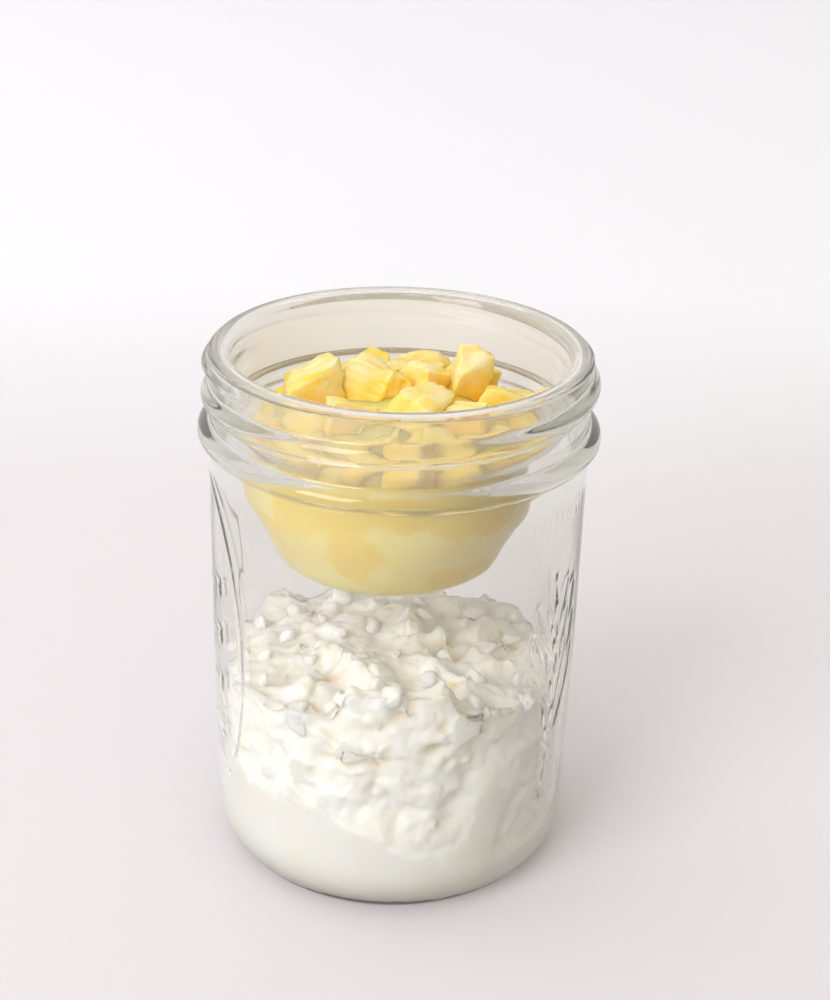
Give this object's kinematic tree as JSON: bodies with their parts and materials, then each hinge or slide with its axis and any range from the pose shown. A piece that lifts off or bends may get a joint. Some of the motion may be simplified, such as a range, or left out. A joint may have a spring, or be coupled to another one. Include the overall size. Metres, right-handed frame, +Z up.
{
  "type": "jar of cottage cheese with a cup of diced pineapple",
  "caption": "Screw-neck glass preserving jar part filled with cottage cheese, with a clear plastic cup of diced pineapple hung in its mouth.",
  "frame": {"origin": "centre of the ring that the jar stands on, at the bottom of the part", "axes": "+Z up along the jar's axis; the side shown to the viewer faces -Y, +X to the right"},
  "size_m": [0.0886, 0.0886, 0.122],
  "materials": {
    "clear_glass": "clear smooth pressed glass with a faint green tint",
    "cottage_cheese": "moist cream-white curds",
    "clear_plastic": "thin clear plastic, slightly milky",
    "pineapple": "wet yellow fruit with fine fibres"
  },
  "bodies": {
    "root": {"jar": "clear_glass", "cottage_cheese": "cottage_cheese", "fruit_cup": "clear_plastic", "pineapple": "pineapple"}
  },
  "joints": []
}
